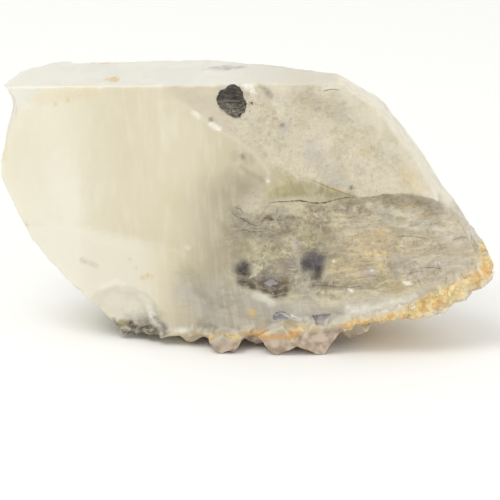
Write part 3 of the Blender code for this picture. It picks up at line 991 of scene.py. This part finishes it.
def crust_color(g):
    """The crust under its grains: ochre, rusty along the seam, and pinkish white at its outer edge."""
    lumps = g.noise(1.6, 5, roughness=0.65)
    rind = g.mix(g.ramp(lumps, 0.36, 0.6), seen(206, 164, 92), seen(238, 214, 154))
    rind = g.layers(rind, ((g.noise(4, 3), 0.5, 0.64, 0.5, seen(224, 162, 80)),))
    across = g.math("ABSOLUTE", g.math("SUBTRACT", g.axis("X"), SEAM_X))
    level = g.math("ABSOLUTE", g.math("SUBTRACT", g.axis("Z"), SEAM_Z))
    seam = g.times(g.ramp(across, SEAM_LONG, SEAM_LONG / 2), g.ramp(level, 1.0, 0.4, 0, 0.6))
    rind = g.mix(seam, rind, seen(206, 146, 74))
    pinkish = g.mix(g.ramp(lumps, 0.4, 0.6), seen(206, 190, 164), seen(238, 230, 210))
    return g.mix(g.times(g.attribute("outer"), 0.8), rind, pinkish)


def stroke_colors(g, skin):
    """The strokes of colour, each broken up by fine grains or by feathery streaks, over a skin's colour."""
    fine = g.noise(0.6, 4, roughness=0.7)
    feather = g.noise(0.9, 5, (2.4, 2.4, 1), (0, 6, 0), roughness=0.65, warp=1.2)
    for name, color, grain, least in (
        ("olive", seen(190, 180, 130), feather, 0.4),
        ("lilac", seen(182, 178, 180), feather, 0.4),
        ("ochre", seen(220, 188, 112), fine, 0.3),
        ("smoke", seen(82, 70, 52), feather, 0.6),
        # white: pale wisps, with painted glints in its small strong spots.
        ("white", seen(252, 249, 238), fine, 0.5),
    ):
        skin = g.mix(g.times(g.attribute(name), g.ramp(grain, 0.36, 0.58, least, 1.0)), skin, color)
    return skin


def skin_color(g):
    """The crystal's colour: each kind of surface laid over the ones before it."""
    skin = g.mix(g.attribute("milk"), etched_color(g), milk_color(g))
    skin = g.mix(g.attribute("window"), skin, glassy_color(g))
    # Painted light: the down-facing lower face of the milky end is lightened.
    skin = g.mix(g.times(g.attribute("lower"), 0.5), skin, seen(245, 240, 226))
    skin = g.mix(g.times(g.attribute("haze"), 0.7), skin, haze_color(g))
    # Painted shade in part: the band above the crack faces down, and its darker olive colour stands for its
    # shadow.
    hollow = g.mix(g.ramp(g.noise(0.7, 4, (1, 1, 4)), 0.38, 0.62), seen(184, 172, 132), seen(216, 206, 168))
    skin = g.mix(g.times(g.attribute("ledge"), 0.8), skin, hollow)
    # Painted light in part: the front turns paler along the top edge and the rim's edge, softening the change
    # of shading onto those faces.
    border = g.times(g.attribute("border"), g.ramp(g.noise(2.2, 4, warp=0.6), 0.3, 0.62, 0.25, 0.8))
    skin = g.mix(border, skin, seen(234, 226, 204))
    crown = g.math("MAXIMUM", g.attribute("top"), g.attribute("facet"))
    skin = g.mix(g.times(crown, 0.9), skin, crown_color(g))
    # Painted light: the rim's faces turn away from the lamps, and their near-white colour lifts them over
    # their own pale frosting.
    frosted_and_lit = g.ramp(g.noise(2.6, 5, roughness=0.6, warp=0.8), 0.34, 0.62, 0.55, 0.9)
    skin = g.mix(g.times(g.attribute("rim"), frosted_and_lit), skin, linear(247, 240, 221))
    skin = g.mix(g.attribute("crust"), stroke_colors(g, skin), crust_color(g))
    # The small crystals under the rim: pinkish beige, with their darker tone partly painted shade.
    below = g.mix(g.ramp(g.noise(2.2, 4), 0.36, 0.64), seen(164, 142, 118), seen(212, 194, 176))
    skin = g.mix(g.attribute("pale"), skin, below)
    # Painted highlight: ridges and outer edges turn paler.
    return g.mix(g.ramp(g.attribute("ridge"), 0.05, 0.16, 0.0, 0.08), skin, seen(250, 246, 234))


def clearness(g):
    """How much light the skin lets in: patchy but for the ports, and little through strokes of colour."""
    dark = g.math("MAXIMUM", g.attribute("smoke"), g.attribute("ochre"))
    covered = g.math("MAXIMUM", g.attribute("white"), dark)
    patchy = g.ramp(g.noise(1.5, 5, (3.4, 3.4, 1), (0, 8, 0), roughness=0.6, warp=1.2), 0.4, 0.66, 1.0, 0.6)
    patchy = g.blend(g.attribute("port"), patchy, 1.0)
    return g.times(g.times(g.attribute("clear"), patchy), g.ramp(covered, 0.1, 0.9, 1.0, 0.1))


def quartz_material():
    """Clear quartz under its skin's colours, glossy in the window and duller on the etched faces."""
    g = Graph("quartz")
    g.set(Base_Color=skin_color(g), IOR=QUARTZ_IOR, Transmission_Weight=clearness(g))
    g.set(Roughness=g.blend(g.attribute("window"), g.blend(g.attribute("milk"), 0.42, 0.3), 0.07))
    g.set(Subsurface_Weight=0.35, Subsurface_Radius=(1.0, 0.93, 0.8), Subsurface_Scale=2.2 * MM)
    under = g.bump(g.noise(0.5, 3), 0.02)
    g.bump(g.noise(1.0, 4, (6, 6, 1), roughness=0.6, warp=0.6), 0.03, under)
    inside = g.node("VolumeAbsorption")
    inside.inputs["Color"].default_value = QUARTZ_TINT
    inside.inputs["Density"].default_value = QUARTZ_DENSITY
    g.put(g.output.inputs["Volume"], inside.outputs["Volume"])
    return g.material


class Front:
    """Places on the crystal's front and inside it, from x and height."""

    def __init__(self, body):
        self.tree = search_tree(body.data)

    def at(self, x, height):
        """The place on the front at x and height, and the way that the surface faces there."""
        place, facing, _, _ = self.tree.ray_cast(Vector((x, -60, height)) * MM, Vector((0, 1, 0)))
        return place / MM, facing

    def sunk(self, x, height, depth):
        """The place seen through the front at x and height, so far inside."""
        return self.at(x, height)[0] + INTO * depth

    def room(self, place):
        """How far inside the crystal a place lies; below 0 outside it."""
        near, facing, _, _ = self.tree.find_nearest(place * MM)
        return (near / MM - place).dot(facing)


# ---------------------------------------------------------------- grains and inlays
def grain_shape(rng, corners=11):
    """The corners and triangles of one angular grain about 1 across."""
    bm = bmesh.new()
    for _ in range(corners):
        way = direction(rng.uniform(0, 360), math.degrees(math.asin(rng.uniform(-1, 1))))
        bm.verts.new(way * rng.uniform(0.42, 0.58))
    bmesh.ops.convex_hull(bm, input=bm.verts)
    for spare in [v for v in bm.verts if not v.link_faces]:
        bm.verts.remove(spare)
    bmesh.ops.recalc_face_normals(bm, faces=bm.faces)
    bm.verts.index_update()
    shape = np.array([v.co for v in bm.verts]), [[v.index for v in f.verts] for f in bm.faces]
    bm.free()
    return shape


def block_shape():
    """The corners and faces of a cube 1 across."""
    corners = np.array([(i, j, k) for i in (-0.5, 0.5) for j in (-0.5, 0.5) for k in (-0.5, 0.5)])
    return corners, [[0, 1, 3, 2], [4, 6, 7, 5], [0, 4, 5, 1], [2, 3, 7, 6], [0, 2, 6, 4], [1, 5, 7, 3]]


def spin_by(rng, most=180):
    """A random turn of up to most degrees about each axis."""
    spin = Matrix.Identity(3)
    for axis in "XYZ":
        spin = Matrix.Rotation(math.radians(rng.uniform(-most, most)), 3, axis) @ spin
    return np.array(spin)


def joined(shapes, placed):
    """One mesh of many grains. Each is placed by its shape's number, centre, size, spin and tint."""
    points, faces, tints, count = [], [], [], 0
    for which, centre, size, spin, tint in placed:
        corners, sides = shapes[which]
        points.append(np.array(centre) + (corners * size) @ spin.T)
        faces.extend([[count + i for i in side] for side in sides])
        tints.extend([tint] * len(corners))
        count += len(corners)
    low, high = (np.array(corner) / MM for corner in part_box(NODE))
    mesh = mesh_from(np.clip(np.concatenate(points), low, high), faces)
    store(mesh, tint=tints)
    return mesh


def inlay(front, outline, cell, face, thickness, ragged=0.12, seed=0):
    """A plate that fills an outline: face(points) gives how deep each point lies below the front."""
    xs, zs = zip(*outline)
    wide = int((max(xs) - min(xs)) / cell) + 3
    high = int((max(zs) - min(zs)) / cell) + 3
    x = np.tile(min(xs) + cell * (np.arange(wide) - 1), high)
    z = np.repeat(min(zs) + cell * (np.arange(high) - 1), wide)
    flat = np.stack((x, 0 * x, z), 1)
    wander = ragged * np.stack((clouds(flat, 0.8, seed), clouds(flat, 0.8, seed + 7)), 1)
    quads = net(wide, high)
    middle_x = (x + wander[:, 0])[quads].mean(1)
    middle_z = (z + wander[:, 1])[quads].mean(1)
    quads = quads[within(middle_x, middle_z, tuple(outline))]
    used = np.unique(quads)
    surface = np.zeros((len(x), 3))
    for n in used:
        surface[n] = front.at(x[n], z[n])[0]
    sunk = surface + face(surface)[:, None] * np.array(INTO)
    return plate(sunk, sunk + thickness * np.array(INTO), quads)


def ore_grain(front):
    """The dark striated ore grain, which stands a little out of the front in its middle."""
    middle = np.array((-3.1, 0, 49.4))

    def face(p):
        rows = clouds(p @ turned(0, 4).T, (2.4, 2.4, 0.32), 203)
        lumps = clouds(p, 0.9, 207)
        away = np.hypot((p - middle)[:, 0] / 2.9, (p - middle)[:, 2] / 3.6)
        return -0.25 + 0.3 * smooth_step(away, 0.7, 1.1) - 0.06 * rows - 0.14 * lumps

    mesh = inlay(front, ORE_OUTLINE, 0.1, face, 0.9, 0.22, 211)
    mesh.shade_smooth()
    g = Graph("dark_ore")
    rows = g.noise(0.45, 6, (4.5, 4.5, 1), (0, -4, 0), roughness=0.8, warp=0.6)
    crumbs = g.noise(0.34, 4, (2.5, 2.5, 1), (0, -4, 0), roughness=0.7)
    upper = g.ramp(g.math("ADD", g.axis("Z"), g.times(g.noise(1.2, 3), 3)), 50.0, 52.4)
    color = g.mix(g.ramp(rows, 0.38, 0.64), linear(40, 35, 28), linear(128, 121, 108))
    color = g.mix(g.times(g.ramp(crumbs, 0.56, 0.66), 0.8), color, linear(168, 163, 146))
    color = g.mix(g.times(g.ramp(crumbs, 0.46, 0.38), 0.8), color, linear(26, 24, 21))
    g.set(Base_Color=g.mix(g.times(upper, 0.65), color, linear(27, 23, 17)), Metallic=0.2)
    g.set(Roughness=g.ramp(rows, 0.3, 0.7, 0.6, 0.42))
    g.bump(crumbs, 0.08)
    new_piece("ore_grain", mesh, g.material)


def crust_grains(body, zone):
    """Small angular grains all over the crust: warm, rusty at the seam, paler along its outer edge."""
    rng = random.Random(31)
    shapes = [grain_shape(rng) for _ in range(8)]
    points, normals = points_of(body.data), normals_of(body.data)
    weight = zone["crust"] * np.where(zone["under"] > 0.5, 0.3, 1.0) * smooth_step(points[:, 0], -26, -4)
    warm = clouds(points, 3.5, 33)
    outer = zone["outer"]
    placed = []
    for n, (x, y, z) in enumerate(points):
        if rng.random() > 0.13 * weight[n]:
            continue
        size = rng.uniform(0.3, 0.7) + 0.7 * float(smooth_step(x, 10, 42)) * rng.random() ** 2
        shape = np.array([rng.uniform(0.7, 1.3) for _ in range(3)]) * size
        rust = smooth_step(abs(x - SEAM_X), SEAM_LONG, SEAM_LONG / 2) * smooth_step(abs(z - SEAM_Z), 1.2, 0.5)
        tint = 0.4 + 0.3 * warm[n] - 0.4 * outer[n] + 0.6 * float(rust) + rng.uniform(-0.08, 0.08)
        which, centre = rng.randrange(len(shapes)), points[n] - normals[n] * size * 0.2
        placed.append((which, centre, shape, spin_by(rng), tint))
    g = Graph("crust")
    tint = g.attribute("tint")
    color = g.mix(g.ramp(tint, 0.0, 0.4), linear(236, 228, 206), linear(242, 216, 150))
    color = g.mix(g.ramp(tint, 0.5, 0.9), color, linear(234, 174, 84))
    color = g.mix(g.ramp(tint, 0.9, 1.2), color, linear(168, 104, 44))
    g.set(Base_Color=g.mix(g.ramp(g.noise(0.5, 3), 0.55, 0.8, 0, 0.4), color, linear(206, 158, 96)))
    g.set(Roughness=0.5, Subsurface_Weight=0.7, Subsurface_Radius=(1.0, 0.8, 0.5), Subsurface_Scale=2 * MM)
    g.bump(g.noise(0.3, 3), 0.04)
    new_piece("crust_grains", joined(shapes, placed), g.material)


def fluorite(front):
    """Blue-violet cubes grown together, and a looser group beside them, sealed in the clear end."""
    rng = random.Random(47)
    placed = []
    for x, height, size, tint in LARGE_CUBES:
        placed.append((0, front.sunk(x, height, CUBE_COVER + size / 2), size, spin_by(rng, 24), tint))
    centre = front.sunk(*CUBE_GROUP)
    for _ in range(24):
        away = Vector([rng.uniform(-1, 1) * s for s in CUBE_SPREAD])
        if math.hypot(away.x / 2.0, away.z / 2.5) > 1:
            continue
        size = rng.uniform(0.9, 1.5)
        tint = 0.3 + 0.1 * away.z + 0.06 * away.x + 0.5 * rng.random()
        placed.append((0, centre + away, size, spin_by(rng, 24), tint))
    centre = front.sunk(*DARK_GROUP)
    for _ in range(18):
        away = Vector([rng.gauss(0, s) for s in DARK_SPREAD])
        placed.append((0, centre + away, rng.uniform(0.3, 1.2), spin_by(rng, 40), 0.2 + 0.7 * rng.random()))
    g = Graph("fluorite")
    color = g.mix(g.attribute("tint"), linear(60, 54, 96), linear(170, 170, 222))
    g.set(Base_Color=g.mix(g.ramp(g.noise(1.1, 3), 0.45, 0.75, 0, 0.6), color, linear(184, 184, 210)))
    g.set(Roughness=0.22)
    g.bump(g.noise(0.4, 3), 0.04)
    new_piece("fluorite_cubes", joined([block_shape()], placed), g.material)


def flakes(front, cad):
    """Thin flakes set into the front, with their faces about 0.1 mm out of it.

    The real ones look sealed in, but light that comes back from deeper down renders too dark.
    """

    def flake(
        name, outline, g, color, cell, depth, seed, thickness, ragged=0.12, roughness=0.3
    ):
        def face(p):
            return depth + 0.06 * clouds(p, 1.2, seed)

        g.set(Base_Color=color, Roughness=roughness)
        mesh = inlay(front, from_crop(cad, outline), cell, face, thickness, ragged)
        new_piece(name, mesh, g.material)

    g = Graph("pale_flake")
    color = g.mix(g.ramp(g.noise(1.0, 5, warp=0.6), 0.36, 0.64), linear(146, 137, 112), linear(190, 182, 156))
    flake("pale_flake", PALE_FLAKE_CROP, g, color, 0.1, -0.08, 301, 0.25, 0.22, 0.35)
    g = Graph("lilac_flake")
    color = g.mix(g.noise(0.8, 3), linear(118, 111, 116), linear(162, 155, 159))
    flake("lilac_lens", LILAC_LENS_CROP, g, color, 0.12, -0.1, 303, 0.25, 0.2)
    g = Graph("blue_flake")
    streak = g.ramp(g.noise(0.9, 5, (3, 3, 1), (0, -10, 0), roughness=0.7), 0.42, 0.6)
    color = g.mix(streak, linear(122, 121, 128), linear(208, 203, 192))
    flake("blue_flake", BLUE_FLAKE_CROP, g, color, 0.12, -0.06, 305, 0.3, 0.4)
    g = Graph("grey_flake")
    fade = g.math("ADD", g.axis("X"), g.times(g.axis("Z"), -1.6))
    fade = g.ramp(g.math("ADD", fade, g.times(g.noise(0.9, 5), 7)), 3, 10)
    color = g.mix(fade, linear(104, 98, 106), linear(190, 182, 166))
    flake("grey_flake", GREY_FLAKE_CROP, g, color, 0.12, -0.08, 307, 0.3)


def veil(front, name, depth, size, hole, color, seed):
    """A healed crack behind the window: a thin wavy sheet, full of holes that are drawn out sideways."""
    wide, high = int(VEIL_LONG / VEIL_CELL), int(VEIL_HIGH / VEIL_CELL)
    x = np.tile(VEIL_LEFT + VEIL_CELL * np.arange(wide), high)
    z = np.repeat(VEIL_LOW + VEIL_CELL * np.arange(high), wide)
    base = np.array(front.sunk(*VEIL_MIDDLE, depth))
    y = base[1] + VEIL_LEAN[0] * (z - base[2]) + VEIL_LEAN[1] * (x - base[0])
    flat = np.stack((x, 0 * x, z), 1)
    y = y + 0.5 * clouds(flat, (9, 9, 4), seed)
    holes = clouds(flat @ turned(0, 6).T, size, seed + 5, 4)
    points = np.stack((x, y, z), 1)
    quads = net(wide, high)
    quads = quads[holes[quads].mean(1) > hole]
    roomy = np.zeros(len(points), bool)
    for n in np.unique(quads):
        roomy[n] = front.room(Vector(points[n])) > VEIL_ROOM
    quads = unpinched(quads[roomy[quads].all(1)], len(points))
    g = Graph(name)
    streaks = g.ramp(g.noise(1.6, 5, (3, 3, 1), warp=0.8), 0.35, 0.65)
    g.set(Base_Color=g.mix(streaks, color, linear(240, 234, 214)), Roughness=0.4)
    new_piece(name, plate(points, points + (0, VEIL_THICKNESS, 0), quads), g.material)


def thread(front, path, half_width, lift, seed):
    """A thin line along the front, as points and faces. It tapers to both ends and wanders a little."""
    rng = random.Random(seed)
    places = []
    for (xa, za), (xb, zb) in zip(path, path[1:]):
        steps = max(2, int(math.hypot(xb - xa, zb - za) / 0.22))
        places += [(xa + (xb - xa) * i / steps, za + (zb - za) * i / steps) for i in range(steps)]
    points = []
    for n, (x, z) in enumerate(places):
        place, facing = front.at(x, z + rng.uniform(-0.06, 0.06))
        ahead, behind = places[min(n + 1, len(places) - 1)], places[max(n - 1, 0)]
        along = Vector((ahead[0] - behind[0], 0, ahead[1] - behind[1])).normalized()
        across = facing.cross(along).normalized()
        wide = half_width * math.sqrt(math.sin(math.pi * (n + 0.5) / len(places))) * rng.uniform(0.5, 1.4)
        middle = place + facing * lift
        side, top, root = across * wide, facing * 0.07, facing * 0.3
        points += [middle + side, middle + top, middle - side, middle - root]
    faces = [[3, 2, 1, 0], [len(points) - i for i in (4, 3, 2, 1)]]
    for start in range(0, len(points) - 4, 4):
        for a, b in ((0, 1), (1, 2), (2, 3), (3, 0)):
            faces.append([start + a, start + b, start + b + 4, start + a + 4])
    return points, faces


def threads(front, name, paths, material):
    """Thin lines on the front in one piece. Each is a half width, then its path."""
    points, faces = [], []
    for n, (half_width, *path) in enumerate(paths):
        more, sides = thread(front, path, half_width, 0.02, n)
        faces += [[i + len(points) for i in side] for side in sides]
        points += more
    new_piece(name, mesh_from(points, faces), material)


def crack_lines(front, cad):
    """The crack along the ledge, partly a painted shadow under the step's edge, with the thin dark and pale
    lines on the front.
    """
    g = Graph("thin_cracks_and_shadow")
    dark = g.mix(g.ramp(g.noise(0.9, 3), 0.4, 0.6), linear(84, 74, 56), linear(150, 140, 112))
    g.set(Base_Color=dark, Roughness=0.6)
    crack = (0.13, *from_crop(cad, CRACK_AND_SHADOW_CROP))
    threads(front, "dark_cracks_and_shadow", [crack, *DARK_LINES], g.material)
    g = Graph("pale_lines")
    g.set(Base_Color=g.mix(g.noise(0.9, 3), linear(196, 188, 162), linear(226, 219, 200)), Roughness=0.4)
    threads(front, "pale_cracks", PALE_LINES, g.material)


# ---------------------------------------------------------------- studio
def camera():
    thing = bpy.data.objects.new("camera", bpy.data.cameras.new("camera"))
    bpy.context.scene.collection.objects.link(thing)
    thing.data.lens = LENS
    thing.data.sensor_width = SENSOR
    thing.data.clip_end = CLIP_END
    towards = direction(-90, CAMERA_ELEVATION)
    thing.location = (CAMERA_TARGET + towards * CAMERA_DISTANCE) * MM
    thing.rotation_euler = (-towards).to_track_quat("-Z", "Y").to_euler()
    bpy.context.scene.camera = thing


def softbox(name, place, size, power):
    lamp = bpy.data.lights.new(name, "AREA")
    lamp.size = size * MM
    lamp.energy = power
    thing = bpy.data.objects.new(name, lamp)
    thing.location = Vector(place) * MM
    thing.rotation_euler = (CAMERA_TARGET - Vector(place)).to_track_quat("-Z", "Y").to_euler()
    bpy.context.scene.collection.objects.link(thing)


def paper_floor():
    bm = bmesh.new()
    bmesh.ops.create_circle(bm, cap_ends=True, segments=96, radius=FLOOR_RADIUS * MM)
    mesh = bpy.data.meshes.new("floor")
    bm.to_mesh(mesh)
    bm.free()
    floor = bpy.data.objects.new("floor", mesh)
    bpy.context.scene.collection.objects.link(floor)
    paper = Graph("paper")
    paper.set(Base_Color=(0.95, 0.95, 0.93, 1), Roughness=0.9)
    mesh.materials.append(paper.material)


def studio():
    scene = bpy.context.scene
    scene.view_settings.view_transform = "Standard"
    world = bpy.data.worlds.new("studio")
    world.use_nodes = True
    world.node_tree.nodes["Background"].inputs["Color"].default_value = (1, 1, 0.99, 1)
    world.node_tree.nodes["Background"].inputs["Strength"].default_value = 0.85
    scene.world = world
    camera()
    paper_floor()
    softbox("key", (-250, -300, 700), 400, 2.0)
    softbox("fill", (500, -500, 250), 400, 0.5)


studio()
cad = search_tree(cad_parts[NODE].data)
body, zone = quartz_body(cad)
front = Front(body)
ore_grain(front)
crust_grains(body, zone)
fluorite(front)
flakes(front, cad)
crack_lines(front, cad)
veil(front, "near_veil", 4.6, (6, 6, 1.6), 0.15, linear(222, 213, 180), 401)
veil(front, "middle_veil", 7.0, (5, 5, 2.2), -0.1, linear(212, 202, 168), 411)
veil(front, "far_veil", 11.0, (4, 4, 3.0), -0.35, linear(200, 190, 156), 421)
